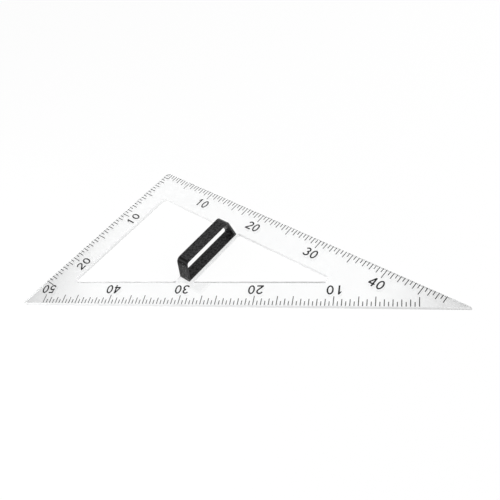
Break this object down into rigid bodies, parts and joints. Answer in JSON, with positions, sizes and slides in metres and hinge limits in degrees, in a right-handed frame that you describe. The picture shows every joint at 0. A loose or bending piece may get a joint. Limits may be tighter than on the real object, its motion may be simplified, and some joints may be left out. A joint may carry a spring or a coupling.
{
  "type": "magnetic board set square",
  "caption": "Large clear 30-60-90 degree set square for a magnetic board, with printed centimetre scales along its edges and a black loop handle on a crossbar that holds magnets.",
  "frame": {"origin": "middle of the set square's box seen from above, on the back face that lies on the board", "axes": "+X along the hypotenuse from the 60 degree corner to the 30 degree corner, +Y from the hypotenuse towards the right angle, +Z out of the board on the handle's side"},
  "size_m": [0.589, 0.2554, 0.036],
  "materials": {
    "clear_acrylic": "clear acrylic, polished faces, finely milled edges",
    "black_plastic": "moulded black plastic with a fine grain",
    "zinc_steel": "zinc-plated steel",
    "nickel_plate": "nickel-plated magnet",
    "black_ink": "screen-printed black ink"
  },
  "bodies": {
    "root": {"acrylic_plate": "clear_acrylic", "carrying_handle": "black_plastic", "handle_screws": "zinc_steel", "magnet_1": "nickel_plate", "magnet_2": "nickel_plate", "magnet_3": "nickel_plate", "magnet_4": "nickel_plate", "hypotenuse_marks": "black_ink", "hypotenuse_numerals": "black_ink", "long_leg_marks": "black_ink", "long_leg_numerals": "black_ink", "short_leg_marks": "black_ink", "short_leg_numerals": "black_ink"}
  },
  "joints": []
}
